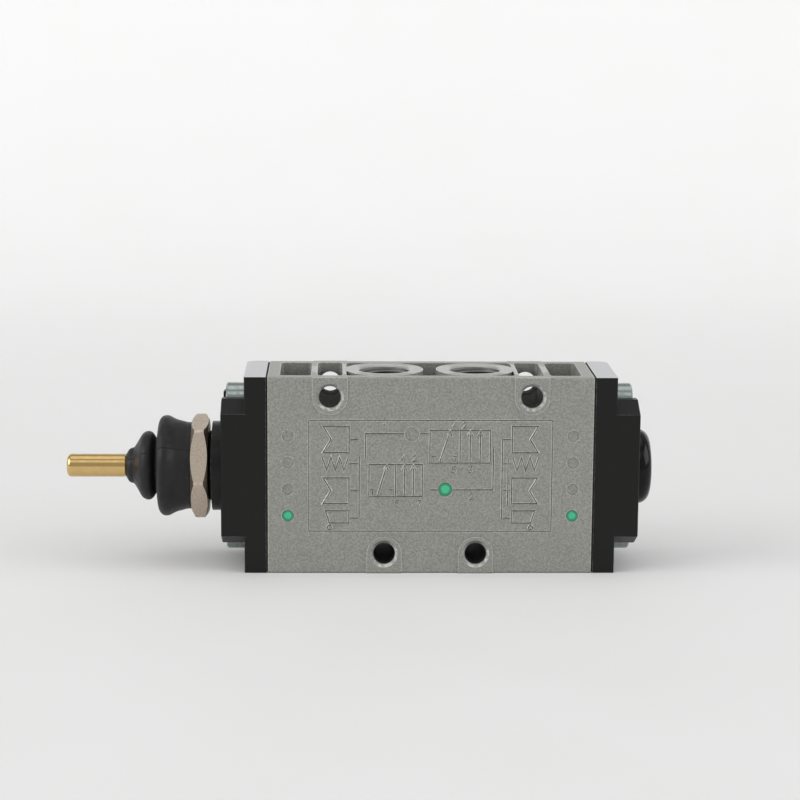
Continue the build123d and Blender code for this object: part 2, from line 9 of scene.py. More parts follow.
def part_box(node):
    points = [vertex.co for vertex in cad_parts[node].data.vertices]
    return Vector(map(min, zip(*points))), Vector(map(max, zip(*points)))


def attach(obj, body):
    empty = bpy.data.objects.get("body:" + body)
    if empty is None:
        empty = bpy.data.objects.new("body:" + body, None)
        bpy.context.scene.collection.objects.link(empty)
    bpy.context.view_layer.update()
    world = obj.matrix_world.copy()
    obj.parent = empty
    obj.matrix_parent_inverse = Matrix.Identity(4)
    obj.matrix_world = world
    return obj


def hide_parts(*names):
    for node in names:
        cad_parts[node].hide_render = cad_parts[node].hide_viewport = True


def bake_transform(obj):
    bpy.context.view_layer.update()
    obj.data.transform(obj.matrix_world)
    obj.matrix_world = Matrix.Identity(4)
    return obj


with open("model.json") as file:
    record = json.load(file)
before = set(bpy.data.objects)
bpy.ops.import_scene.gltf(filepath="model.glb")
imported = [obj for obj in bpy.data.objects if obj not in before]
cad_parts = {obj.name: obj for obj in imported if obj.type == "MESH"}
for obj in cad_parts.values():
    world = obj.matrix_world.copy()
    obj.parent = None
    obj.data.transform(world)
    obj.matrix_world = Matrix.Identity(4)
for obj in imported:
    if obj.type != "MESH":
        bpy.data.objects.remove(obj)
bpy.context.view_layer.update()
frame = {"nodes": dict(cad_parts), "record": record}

mm = 0.001
nodes = frame["nodes"]
print("frame loaded,", len(nodes), "CAD nodes")


def toLinear(code):
    channels = [int(code[k:k + 2], 16) / 255 for k in (1, 3, 5)]
    return [c / 12.92 if c <= 0.04045 else ((c + 0.055) / 1.055) ** 2.4 for c in channels] + [1.0]


def fillInputs(tree, node, inputs):
    # An input takes a plain value, a socket or a node, and a node gives its first live output.
    for key, value in inputs.items():
        if isinstance(value, bpy.types.Node):
            value = next(output for output in value.outputs if output.enabled)
        if isinstance(value, bpy.types.NodeSocket):
            tree.links.new(value, node.inputs[key])
        else:
            node.inputs[key].default_value = value


def addNode(tree, kind, settings, inputs):
    node = tree.nodes.new("ShaderNode" + kind)
    for key, value in settings.items():
        setattr(node, key, value)
    fillInputs(tree, node, inputs)
    return node


# Settings that many nodes share.
smooth = {"interpolation_type": "SMOOTHSTEP"}
inColour = {"data_type": "RGBA"}
times = {"operation": "MULTIPLY"}
timesPlus = {"operation": "MULTIPLY_ADD"}
larger = {"operation": "MAXIMUM"}
smaller = {"operation": "MINIMUM"}
below = {"operation": "LESS_THAN"}
zigzag = {"operation": "PINGPONG"}
sizeOf = {"operation": "ABSOLUTE"}
distance = {"operation": "DISTANCE"}
dotProduct = {"operation": "DOT_PRODUCT"}
edgeSamples = {"samples": 6}
lightSamples = {"samples": 8}
grainSpan = {"From Min": 0.3, "From Max": 0.7}  # nearly all of a noise's values lie between these


def newMaterial(name):
    # Also gives the place on the object, in metres, from which every pattern is drawn to size.
    material = bpy.data.materials.new(name)
    material.use_nodes = True
    tree = material.node_tree
    place = addNode(tree, "TexCoord", {}, {}).outputs["Object"]
    return material, tree, tree.nodes["Principled BSDF"], place


def plainFinish(look):
    # Two close colours mottled by one grain, with a second, finer one in the relief.
    material, tree, shader, place = newMaterial(look["name"])
    mottle = addNode(tree, "TexNoise", {}, {"Vector": place, "Scale": 1 / (look["mottle"] * mm)})
    fine = addNode(tree, "TexNoise", {}, {"Vector": place, "Scale": 1 / (look["grain"] * mm)})
    first, second = [toLinear(code) for code in look["colours"]]
    low, high = look["roughness"]
    spread = {"Value": mottle, **grainSpan, "To Min": low, "To Max": high}
    fillInputs(tree, shader, {
        "Base Color": addNode(tree, "Mix", inColour, {"Factor": mottle, "A": first, "B": second}),
        "Roughness": addNode(tree, "MapRange", smooth, spread),
        "Normal": addNode(tree, "Bump", {}, {"Height": fine, "Distance": look["depth"] * mm}),
        **look.get("sockets", {}),
    })
    return material


def patches(tree, place, size, detail, span, share):
    # Patches this many mm wide: their noise, from span's low to its high, becomes share's low to its high.
    noise = addNode(tree, "TexNoise", {}, {"Vector": place, "Scale": 1 / (size * mm), "Detail": detail})
    return addNode(tree, "MapRange", smooth, {
        "Value": noise, "From Min": span[0], "From Max": span[1], "To Min": share[0], "To Max": share[1],
    })


def endFaces(tree, axes, skin, share):
    # The top and bottom faces, as a skin this many mm deep that fades in to share.
    ends = []
    for start, end in ((bodyHigh.z - skin * mm, bodyHigh.z), (skin * mm, 0.0)):
        inputs = {"Value": axes.outputs["Z"], "From Min": start, "From Max": end, "To Max": share}
        ends.append(addNode(tree, "MapRange", smooth, inputs))
    return addNode(tree, "Math", larger, {0: ends[0], 1: ends[1]})


def sharpTurns(tree, facing, look):
    # The edges: where the surface turns far enough within the width of an edge.
    rounded = addNode(tree, "Bevel", edgeSamples, {"Radius": look["edge"] * mm})
    turn = addNode(tree, "VectorMath", dotProduct, {0: rounded, 1: facing})
    low, high = look["edgeTurn"]
    return addNode(tree, "MapRange", smooth, {"Value": turn, "From Min": low, "From Max": high})


def dress(material, *names):
    for name in names:
        for place in nodes[name].material_slots:
            place.link = "OBJECT"
            place.material = material


def addPiece(name, mesh, material, body="valve_body", smoothFaces=False):
    piece = bpy.data.objects.new(name, mesh)
    bpy.context.scene.collection.objects.link(piece)
    mesh.materials.append(material)
    for polygon in mesh.polygons:
        polygon.use_smooth = smoothFaces
    if body:
        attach(piece, body)
    return piece


# Places read from the frame.
bodyLow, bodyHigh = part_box("body_casting")
axisZ = (bodyLow.z + bodyHigh.z) / 2
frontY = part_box("lever_end_cap")[0].y
mounts = {m["name"]: m for m in frame["record"]["mounts"]}
ports = [mounts[f"port_{k}"] for k in range(1, 6)]
holes = []
for name in ("upper_holes", "lower_holes"):
    half = mounts[name]["dims"]["spacing_x_mm"] * mm / 2
    holes += [(side * half, mounts[name]["pos_m"][2]) for side in (-1, 1)]


# Shot-blasted aluminium die casting: a soft, speckled grey that glints where it was cut, with painted
# highlights on its edges and side-facing walls and painted shade in its hollows, bores and along its foot.
# Blast pits are about 0.1 mm wide, too fine to show, so they are drawn as two coarser grains. Sizes in mm.
casting = {
    # colours; wall is the tone of the painted highlight on side-facing walls, deep the tone of the painted
    # shade
    "pale": "#B2B2AC", "dark": "#8E8E88", "milled": "#9A9B98", "paleMetal": "#E4E4E1", "deep": "#2B2B28",
    "wall": "#DADAD6",
    # the blasted skin
    "blotch": 7.0, "grain": 0.46, "grainDetail": 3.0, "grainRoughness": 0.6, "fineGrain": 0.16,
    "speckle": (0.27, 0.73), "stain": 0.35, "depth": 0.07, "fineDepth": 0.3,
    # milled top and bottom, port rings and chamfered holes, painted shade down the bores
    "milledSkin": 0.06, "skinShare": 0.4, "ringShare": 2.3, "portMouth": 7.1, "portFace": (7.7, 8.3),
    "holeMouth": 3.6, "holeWall": 2.8, "bright": (0.1, 0.55), "turningLines": 0.45,
    "lineShare": 0.6, "lineFrom": 0.4, "portShade": (0.4, 3.0), "shade": 0.8,
    # edges worn bright with a painted highlight, painted highlight on side-facing walls, painted shade in the
    # corners
    "edge": 0.4, "edgeTurn": (0.995, 0.84), "cavity": 0.4, "open": (0.7, 0.97), "openLeast": 0.1,
    "chips": (0.4, 0.6), "chipLeast": 0.45, "mouthWearAndHighlight": -0.6,
    "sideHighlight": 0.9, "highlightTurn": (0.2, 0.6), "rightward": 0.6, "highlightSkin": 0.45, "highlightFade": 0.7,
    "highlightPatch": 1.1, "patch": (0.4, 0.62), "patchShare": (0.35, 1.0),
    "paintedCavityShade": 0.4, "paintedCavityShadeSpan": (0.2, 0.7), "footShade": 0.3, "footShare": 0.85,
    # shine
    "roughness": (0.56, 0.34), "wornRoughness": -0.15, "dullRoughness": 0.5, "metallic": (0.6, 0.05),
    "cutRelief": -0.8,
}


def blastedSkin(tree, coarse, place, look):
    # Two greys in coarse speckles, with wide stains of the darker one.
    pale, dark = toLinear(look["pale"]), toLinear(look["dark"])
    blotch = addNode(tree, "TexNoise", {}, {"Vector": place, "Scale": 1 / (look["blotch"] * mm)})
    low, high = look["speckle"]
    speckle = addNode(tree, "MapRange", smooth, {"Value": coarse, "From Min": low, "From Max": high})
    tone = addNode(tree, "Mix", inColour, {"Factor": speckle, "A": dark, "B": pale})
    stain = addNode(tree, "Math", times, {0: blotch, 1: look["stain"]})
    return addNode(tree, "Mix", inColour, {"Factor": stain, "A": tone, "B": dark})


def turnedPorts(tree, axes, skin, look):
    # The mouths of the ports and the rings turned round them, with the distance to the nearest port's axis.
    flat = addNode(tree, "CombineXYZ", {}, {"X": axes.outputs["X"], "Y": axes.outputs["Y"]})
    inner, outer = look["portFace"]
    cut, turned, nearest = skin, 0.0, 1.0
    for port in ports:
        away = addNode(tree, "VectorMath", distance, {0: flat, 1: (port["pos_m"][0], 0, 0)})
        inside = addNode(tree, "Math", below, {0: away, 1: look["portMouth"] * mm})
        cut = addNode(tree, "Math", larger, {0: cut, 1: inside})
        inputs = {"Value": away, "From Min": outer * mm, "From Max": inner * mm}
        turned = addNode(tree, "Math", larger, {0: turned, 1: addNode(tree, "MapRange", smooth, inputs)})
        nearest = addNode(tree, "Math", smaller, {0: nearest, 1: away})
    for share in (skin, look["ringShare"]):
        turned = addNode(tree, "Math", times, {0: turned, 1: share})
    return addNode(tree, "Math", larger, {0: cut, 1: turned}), nearest


def drilledHoles(tree, axes, look):
    # The chamfered mouths of the mounting holes, and their walls.
    upright = addNode(tree, "CombineXYZ", {}, {"X": axes.outputs["X"], "Z": axes.outputs["Z"]})
    mouths, walls = 0.0, 0.0
    for x, z in holes:
        away = addNode(tree, "VectorMath", distance, {0: upright, 1: (x, 0, z)})
        mouth = addNode(tree, "Math", below, {0: away, 1: look["holeMouth"] * mm})
        mouths = addNode(tree, "Math", larger, {0: mouths, 1: mouth})
        wall = addNode(tree, "Math", below, {0: away, 1: look["holeWall"] * mm})
        walls = addNode(tree, "Math", larger, {0: walls, 1: wall})
    return mouths, walls


def milledTone(tree, fine, nearest, skin, look):
    # Bright cut metal, with the rings that the facing tool leaves round each port.
    # The tool's real feed is about 0.1 mm, too fine to show, so its rings are drawn 0.9 mm apart.
    low, high = look["bright"]
    bright = addNode(tree, "MapRange", smooth, {"Value": fine, **grainSpan, "To Min": low, "To Max": high})
    inputs = {"Factor": bright, "A": toLinear(look["milled"]), "B": toLinear(look["paleMetal"])}
    tone = addNode(tree, "Mix", inColour, inputs)
    width = look["turningLines"] * mm
    lines = addNode(tree, "Math", zigzag, {0: nearest, 1: width})
    lines = addNode(tree, "MapRange", smooth, {
        "Value": lines, "From Min": width * look["lineFrom"], "From Max": width, "To Max": look["lineShare"],
    })
    lines = addNode(tree, "Math", times, {0: lines, 1: skin})
    return addNode(tree, "Mix", inColour, {"Factor": lines, "A": tone, "B": toLinear(look["dark"])})


def dullShadedBores(tree, axes, cut, holeWalls, look):
    # The walls of ports and holes are dull, and painted shade darkens them away from their mouths.
    near, far = [depth * mm for depth in look["portShade"]]
    inward = []
    for start, end in ((bodyHigh.z - near, bodyHigh.z - far), (near, far)):
        inputs = {"Value": axes.outputs["Z"], "From Min": start, "From Max": end, "To Max": look["shade"]}
        inward.append(addNode(tree, "MapRange", smooth, inputs))
    bored = addNode(tree, "Math", times, {0: inward[0], 1: inward[1]})
    bored = addNode(tree, "Math", times, {0: bored, 1: cut})
    return addNode(tree, "Math", larger, {0: holeWalls, 1: bored})


def wornAndHighlightedEdges(tree, coarse, facing, openness, mouths, look):
    # Edges chipped and worn bright, with a painted highlight along them, but not those of the shallow marks,
    # where little light comes in.
    wearAndHighlight = sharpTurns(tree, facing, look)
    spans = ((openness, look["open"], look["openLeast"]), (coarse, look["chips"], look["chipLeast"]))
    for value, (low, high), least in spans:
        inputs = {"Value": value, "From Min": low, "From Max": high, "To Min": least}
        wearAndHighlight = addNode(tree, "Math", times, {0: wearAndHighlight, 1: addNode(tree, "MapRange", smooth, inputs)})
    plain = addNode(tree, "Math", timesPlus, {0: mouths, 1: look["mouthWearAndHighlight"], 2: 1.0})
    return addNode(tree, "Math", times, {0: wearAndHighlight, 1: plain})


def paintedWallHighlights(tree, place, axes, facing, mouths, look):
    # Painted highlight: the upright walls of the shallow marks, pads and chamfers near the front and back,
    # those facing the sides and the chamfers facing up, are painted bright in patches.
    walls = addNode(tree, "SeparateXYZ", {}, {0: facing})
    leftward = addNode(tree, "Math", times, {0: walls.outputs["X"], 1: -1.0})
    rightward = addNode(tree, "Math", times, {0: walls.outputs["X"], 1: look["rightward"]})
    upward = addNode(tree, "Math", times, {0: walls.outputs["Z"], 1: mouths})
    sideways = addNode(tree, "Math", larger, {0: leftward, 1: rightward})
    sideways = addNode(tree, "Math", larger, {0: sideways, 1: upward})
    low, high = look["highlightTurn"]
    sideHighlight = addNode(tree, "MapRange", smooth, {
        "Value": sideways, "From Min": low, "From Max": high, "To Max": look["sideHighlight"],
    })
    skin = look["highlightSkin"] * mm
    outward = addNode(tree, "Math", sizeOf, {0: axes.outputs["Y"]})
    shallow = addNode(tree, "MapRange", smooth, {
        "Value": outward, "From Min": -frontY - skin, "From Max": -frontY - skin * look["highlightFade"],
    })
    patchy = patches(tree, place, look["highlightPatch"], look["grainDetail"], look["patch"], look["patchShare"])
    for share in (shallow, patchy):
        sideHighlight = addNode(tree, "Math", times, {0: sideHighlight, 1: share})
    return sideHighlight


def castingMaterial(look):
    material, tree, shader, place = newMaterial("blasted_aluminium")
    axes = addNode(tree, "SeparateXYZ", {}, {0: place})
    facing = addNode(tree, "NewGeometry", {}, {}).outputs["Normal"]
    light = addNode(tree, "AmbientOcclusion", lightSamples, {"Distance": look["cavity"] * mm})
    openness = light.outputs["AO"]
    coarse = addNode(tree, "TexNoise", {}, {
        "Vector": place, "Scale": 1 / (look["grain"] * mm),
        "Detail": look["grainDetail"], "Roughness": look["grainRoughness"],
    })
    fine = addNode(tree, "TexNoise", {}, {"Vector": place, "Scale": 1 / (look["fineGrain"] * mm)})

    skin = endFaces(tree, axes, look["milledSkin"], look["skinShare"])
    cut, nearest = turnedPorts(tree, axes, skin, look)
    mouths, holeWalls = drilledHoles(tree, axes, look)
    cut = addNode(tree, "Math", larger, {0: cut, 1: mouths})
    dullAndShaded = dullShadedBores(tree, axes, cut, holeWalls, look)
    wearAndHighlight = wornAndHighlightedEdges(tree, coarse, facing, openness, mouths, look)
    # Painted shade: darker where the surface is hemmed in within the cavity distance, in corners, grooves and
    # marks.
    low, high = look["paintedCavityShadeSpan"]
    paintedCavityShade = addNode(tree, "MapRange", smooth, {
        "Value": openness, "From Min": low, "From Max": high, "To Min": look["paintedCavityShade"], "To Max": 0.0,
    })
    # Painted shade: a thin dark band along the foot, where the floor's shadow meets the body.
    foot = addNode(tree, "MapRange", smooth, {
        "Value": axes.outputs["Z"], "From Min": look["footShade"] * mm, "From Max": 0.0,
        "To Max": look["footShare"],
    })
    colour = blastedSkin(tree, coarse, place, look)
    deep = toLinear(look["deep"])
    # Layers: cut metal, painted shade and dullness in bores, wear with a painted edge highlight, painted
    # shade in hollows, painted highlight on side-facing walls, painted shade along the foot.
    layers = [
        (cut, milledTone(tree, fine, nearest, skin, look)), (dullAndShaded, deep), (wearAndHighlight, toLinear(look["paleMetal"])),
        (paintedCavityShade, deep), (paintedWallHighlights(tree, place, axes, facing, mouths, look), toLinear(look["wall"])),
        (foot, deep),
    ]
    for share, tone in layers:
        colour = addNode(tree, "Mix", inColour, {"Factor": share, "A": colour, "B": tone})

    blasted, machined = look["roughness"]
    shine = addNode(tree, "MapRange", smooth, {"Value": cut, "To Min": blasted, "To Max": machined})
    shine = addNode(tree, "Math", timesPlus, {0: wearAndHighlight, 1: look["wornRoughness"], 2: shine})
    shine = addNode(tree, "Math", timesPlus, {0: dullAndShaded, 1: look["dullRoughness"], 2: shine})
    clean, dirty = look["metallic"]
    pits = addNode(tree, "Math", timesPlus, {0: cut, 1: look["cutRelief"], 2: 1.0})
    height = addNode(tree, "Math", times, {0: coarse, 1: pits})
    bumps = addNode(tree, "Bump", {}, {"Height": height, "Distance": look["depth"] * mm})
    fineDepth = look["depth"] * look["fineDepth"] * mm
    fillInputs(tree, shader, {
        "Base Color": colour,
        "Roughness": shine,
        "Metallic": addNode(tree, "MapRange", smooth, {"Value": dullAndShaded, "To Min": clean, "To Max": dirty}),
        "Normal": addNode(tree, "Bump", {}, {"Height": fine, "Distance": fineDepth, "Normal": bumps}),
    })
    return material


castMaterial = castingMaterial(casting)
dress(castMaterial, "body_casting")
print("body casting dressed")


# Zinc die casting with a thin black coat: an even satin black, chipped grey at the edges, with a painted
# highlight along them. The tops and bottoms are ground bare and show the pale zinc. The neck's M18 thread is
# cut 1 mm apart. Sizes in mm.
capLook = {
    "colours": ("#111110", "#171716"), "paleMetal": "#A8A8A6", "ground": "#CBCCCE", "groundSkin": 0.05,
    "grain": 0.3, "grainDetail": 3.0, "depth": 0.006, "roughness": (0.3, 0.42), "specular": 0.25,
    "edge": 0.16, "edgeTurn": (0.99, 0.8), "chipSize": 0.9, "chips": (0.4, 0.65), "chipShare": (0.2, 0.8),
    "threadPitch": 1.0, "threadDepth": 0.5, "threadBehindNut": 0.9,
}


def neckThread(tree, axes, neckFrom, look):
    # One ridge for each turn of the thread, on the neck alone.
    pitch = look["threadPitch"] * mm
    along = addNode(tree, "Math", {"operation": "DIVIDE"}, {0: axes.outputs["X"], 1: pitch})
    wave = addNode(tree, "Math", zigzag, {0: along, 1: 0.5})
    onNeck = addNode(tree, "Math", below, {0: axes.outputs["X"], 1: neckFrom})
    ridge = addNode(tree, "Math", times, {0: wave, 1: onNeck})
    return addNode(tree, "Bump", {}, {"Height": ridge, "Distance": look["threadDepth"] * mm})


def capMaterial(look, neckFrom):
    material, tree, shader, place = newMaterial("black_coated_zinc")
    axes = addNode(tree, "SeparateXYZ", {}, {0: place})
    facing = addNode(tree, "NewGeometry", {}, {}).outputs["Normal"]
    inputs = {"Vector": place, "Scale": 1 / (look["grain"] * mm), "Detail": look["grainDetail"]}
    fine = addNode(tree, "TexNoise", {}, inputs)
    chips = patches(tree, place, look["chipSize"], look["grainDetail"], look["chips"], look["chipShare"])
    # Chips of the coat along the sharp edges, which also stand as a painted highlight there.
    chipsAndEdgeHighlight = addNode(tree, "Math", times, {0: sharpTurns(tree, facing, look), 1: chips})
    ground = endFaces(tree, axes, look["groundSkin"], 1.0)
    first, second = [toLinear(code) for code in look["colours"]]
    colour = addNode(tree, "Mix", inColour, {"Factor": fine, "A": first, "B": second})
    for share, code in ((chipsAndEdgeHighlight, look["paleMetal"]), (ground, look["ground"])):
        colour = addNode(tree, "Mix", inColour, {"Factor": share, "A": colour, "B": toLinear(code)})

    low, high = look["roughness"]
    spread = {"Value": fine, **grainSpan, "To Min": low, "To Max": high}
    thread = neckThread(tree, axes, neckFrom, look)
    bumps = {"Height": fine, "Distance": look["depth"] * mm, "Normal": thread}
    fillInputs(tree, shader, {
        "Base Color": colour,
        "Metallic": ground,
        "Roughness": addNode(tree, "MapRange", smooth, spread),
        "Specular IOR Level": look["specular"],
        "Normal": addNode(tree, "Bump", {}, bumps),
    })
    return material


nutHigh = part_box("panel_nut")[1]
neckFrom = nutHigh.x + capLook["threadBehindNut"] * mm
dress(capMaterial(capLook, neckFrom), "lever_end_cap", "plug_end_cap")
print("end caps dressed")


# Plain finishes of the other CAD nodes. In each, "mottle" and "grain" are the widths in mm of the
# patches of tone and of the grains in the relief. Real plating, turning and moulding grains are some
# hundredths of a mm, too fine to show, so all are drawn as coarse as they need to be seen.

# Nickel-plated steel, barrel-plated over a sawn and tumbled blank: warm, soft and a little cloudy.
nickel = {
    "name": "nickel_plated_steel", "colours": ("#E0D3C3", "#AE9F8D"), "mottle": 0.6, "grain": 0.34,
    "roughness": (0.3, 0.46), "depth": 0.05, "sockets": {"Metallic": 1.0},
}
# Zinc-plated steel with a blue passivation: a cool, clear shine with darker clouds.
zinc = {
    "name": "zinc_plated_steel", "colours": ("#B4BEBB", "#8E9896"), "mottle": 1.2, "grain": 0.1,
    "roughness": (0.16, 0.3), "depth": 0.003, "sockets": {"Metallic": 1.0},
}
# Brass turned from bar: yellow and bright, with soft bands along the rod.
brass = {
    "name": "turned_brass", "colours": ("#DFC086", "#CFAD70"), "mottle": 1.8, "grain": 0.09,
    "roughness": (0.14, 0.24), "depth": 0.0015, "sockets": {"Metallic": 1.0},
}
# Moulded nitrile rubber of the gaskets and seals: a dead black without a shine.
gasketRubber = {
    "name": "gasket_rubber", "colours": ("#161616", "#202020"), "mottle": 1.5, "grain": 0.2,
    "roughness": (0.6, 0.75), "depth": 0.004,
}
# Polished moulded ABS of the plug: black with a tight highlight on its dome.
plugPlastic = {
    "name": "glossy_black_plastic", "colours": ("#0C0C0D", "#121213"), "mottle": 6.0, "grain": 1.4,
    "roughness": (0.12, 0.2), "depth": 0.002, "sockets": {"Specular IOR Level": 0.2},
}
# Free-cutting steel, turned and milled: a neutral, satin grey metal.
steel = {
    "name": "turned_steel", "colours": ("#A5A6A8", "#8E9092"), "mottle": 1.5, "grain": 0.1,
    "roughness": (0.25, 0.38), "depth": 0.002, "sockets": {"Metallic": 1.0},
}
# Hardened steel, ground and polished: bright and nearly a mirror.
hardSteel = {
    "name": "polished_hard_steel", "colours": ("#C8C9CB", "#B5B7B9"), "mottle": 2.0, "grain": 0.1,
    "roughness": (0.1, 0.18), "depth": 0.001, "sockets": {"Metallic": 1.0},
}
# Hard anodised aluminium of the spool: a smooth, brownish grey between metal and ceramic.
anodised = {
    "name": "hard_anodised_aluminium", "colours": ("#6E6A62", "#7A766E"), "mottle": 2.0, "grain": 0.1,
    "roughness": (0.22, 0.32), "depth": 0.001, "sockets": {"Metallic": 0.8},
}
# Moulded acetal of the guides: creamy white and a little waxy.
guidePlastic = {
    "name": "acetal_plastic", "colours": ("#DCD8CA", "#D2CDBD"), "mottle": 3.0, "grain": 0.3,
    "roughness": (0.4, 0.5), "depth": 0.003,
}
# Glass-filled nylon of the cages: charcoal, with the fibres as a dry, uneven grain.
cagePlastic = {
    "name": "glass_filled_plastic", "colours": ("#2B2B2B", "#363635"), "mottle": 1.0, "grain": 0.2,
    "roughness": (0.45, 0.6), "depth": 0.004,
}
seals = [f"spool_seal_{k}" for k in range(1, 7)]
cages = [f"seal_cage_{k}" for k in range(1, 6)]
dress(plainFinish(nickel), "panel_nut")
dress(plainFinish(zinc), "lever_cap_screws", "plug_cap_screws")
dress(plainFinish(brass), "lever_rod")
dress(plainFinish(gasketRubber), "lever_end_gasket", "plug_end_gasket", *seals)
dress(plainFinish(plugPlastic), "end_plug")
dress(plainFinish(steel), "pivot_carrier", "spool_yoke", "yoke_screw", "guide_retaining_ring")
dress(plainFinish(hardSteel), "pivot_pin", "crank_pin", "detent_balls", "detent_spring", "detent_housing")
dress(plainFinish(anodised), "spool")
dress(plainFinish(guidePlastic), "lever_guide", "detent_guide")
dress(plainFinish(cagePlastic), *cages)
print("other CAD nodes dressed")


# The ports' threads: one helical ridge from mouth to floor in each. Lengths in mm, lead in turns.
portThread = {
    "pitch": 1.337, "rootRadius": 6.57, "crestRadius": 5.76, "crestFlat": 0.32, "rootFlat": 0.17,
    "lead": 0.5, "endRise": 0.05, "leastRise": 0.02, "stepsPerTurn": 56, "start": 0.5, "end": 11.7,
}
# Aluminium cut by the tap: painted shade on the flanks and roots and a painted highlight on the crests.
cutAluminium = {
    "mottle": 0.5, "grain": 0.1, "roughness": (0.36, 0.46), "depth": 0.002, "sockets": {"Metallic": 0.7},
}
threadFlankShade = plainFinish({"name": "thread_flank_painted_shade", "colours": ("#62625F", "#4A4A47"), **cutAluminium})
threadCrestHighlight = plainFinish({"name": "thread_crest_painted_highlight", "colours": ("#D6D6D2", "#B8B8B4"), **cutAluminium})


def helixMesh(name, look):
    # One strip that winds down from the mouth: root, flank, crest, flank, root across it.
    mesh = bpy.data.meshes.new(name)
    pitch = look["pitch"]
    root, lead = look["rootRadius"], look["lead"]
    halfCrest = look["crestFlat"] / 2
    halfRoot = (pitch - look["rootFlat"]) / 2
    turns = (look["end"] - look["start"]) / pitch - 1
    steps = int(turns * look["stepsPerTurn"])
    points, faces = [], []
    for step in range(steps + 1):
        turn = step / look["stepsPerTurn"]
        angle = 2 * math.pi * turn
        rise = min(1.0, turn / lead, (turns - turn) / lead + look["endRise"])
        crest = root + (look["crestRadius"] - root) * max(rise, look["leastRise"])
        middle = look["start"] + pitch * (turn + 0.5)
        section = [(-halfRoot, root), (-halfCrest, crest), (halfCrest, crest), (halfRoot, root)]
        for offset, radius in section:
            x, y = radius * mm * math.cos(angle), radius * mm * math.sin(angle)
            points.append((x, y, -(middle + offset) * mm))
    for step in range(steps):
        for k in range(3):
            a = step * 4 + k
            faces.append((a, a + 1, a + 5, a + 4))
    mesh.from_pydata(points, [], faces)
    for number, polygon in enumerate(mesh.polygons):
        polygon.material_index = 1 if number % 3 == 1 else 0  # the middle face of three is the crest
    return mesh


for port in ports:
    mesh = helixMesh(port["name"] + "_thread", portThread)
    turnOver = Matrix.Identity(4) if port["axis"][2] > 0 else Matrix.Rotation(math.pi, 4, "X")
    mesh.transform(Matrix.Translation(Vector(port["pos_m"])) @ turnOver)
    addPiece(port["name"] + "_thread", mesh, threadFlankShade)
    mesh.materials.append(threadCrestHighlight)
print("port threads made")


# The circuit symbols on the front: thin sunk lines of the standard pictogram, and plain numbers.
# Each is drawn in relief as two low lips with a flat floor between them, which reads as one sunk line.
symbolLine = {"width": 0.4, "lip": 0.14, "height": 0.15, "floor": 0.1, "floorHeight": 0.01}
digitLine = {"width": 0.24, "lip": 0.1, "height": 0.11, "floor": 0.06, "floorHeight": 0.01}
sharpestMitre = 0.35


def linePath(points, look, builder):
    half, base = look["width"] / 2, look["floorHeight"]
    edges = [
        (-half - look["lip"], 0.0), (-half, look["height"]), (-look["floor"], base),
        (look["floor"], base), (half, look["height"]), (half + look["lip"], 0.0),
    ]
    rows = []
    for k, point in enumerate(points):
        here = Vector(point)
        before = (here - Vector(points[k - 1])).normalized() if k else None
        after = (Vector(points[k + 1]) - here).normalized() if k + 1 < len(points) else None
        along = ((before or after) + (after or before)).normalized()
        leaving = after or before
        across = Vector((-along.y, along.x))
        stretch = 1 / max(sharpestMitre, across.dot(Vector((-leaving.y, leaving.x))))
        row = []
        for offset, height in edges:
            spot = here + across * offset * stretch
            row.append(builder.verts.new((spot.x * mm, frontY - height * mm, spot.y * mm)))
        rows.append(row)
    for first, second in zip(rows, rows[1:]):
        for k in range(len(edges) - 1):
            face = builder.faces.new((first[k], second[k], second[k + 1], first[k + 1]))
            face.material_index = 1 if k == 2 else 0  # the middle face is the floor


# Places in the circuit are in mm from the body's middle and up from its foot.
pilotEnd = {
    "inner": 20.8, "outer": 27.4, "notch": 25.4, "boxes": ((31.6, 38.4), (18.3, 25.0)),
    "springTeeth": 7, "springStart": 0.2, "springStep": 1.1, "springHeights": (30.3, 26.9),
    "lever": (16.4, 13.2), "leverInset": (0.6, 1.6), "knob": 0.55, "knobHeight": 12.0, "knobSteps": 10,
    "tickHeights": (35.0, 28.7, 21.8, 14.5), "tickFrom": 18.5, "tickGap": 0.3,
}
squares = {
    "gap": 0.3, "slantHead": ((-0.7, 1.4), (0.4, 1.6)), "headWidth": 0.6, "headTop": 1.5,
    "blockWidth": 0.5, "blockHeight": 0.2, "blocks": (2.5, 0.4),
}


def actuator(side, look):
    # The stack of pilot boxes, spring and lever at one end of the circuit, outwards along side.
    inner, outer, notch = look["inner"], look["outer"], look["notch"]
    paths = []
    for low, high in look["boxes"]:
        point = (notch, (low + high) / 2)
        paths.append([(inner, low), (inner, high), (outer, high), point, (outer, low), (inner, low)])
    start, step = inner + look["springStart"], look["springStep"]
    paths.append([(start + step * k, look["springHeights"][k % 2]) for k in range(look["springTeeth"])])
    top, bottom = look["lever"]
    wide, narrow = [outer - inset for inset in look["leverInset"]]
    paths.append([(inner, top), (wide, top), (narrow, bottom), (inner, bottom), (inner, top)])
    knob, radius = [], look["knob"]
    for k in range(look["knobSteps"] + 1):
        angle = 2 * math.pi * k / look["knobSteps"]
        knob.append((narrow + radius * math.cos(angle), look["knobHeight"] + radius * math.sin(angle)))
    paths.append(knob)
    for height in look["tickHeights"]:
        paths.append([(look["tickFrom"], height), (inner - look["tickGap"], height)])
    return [[(side * x, z) for x, z in path] for path in paths]


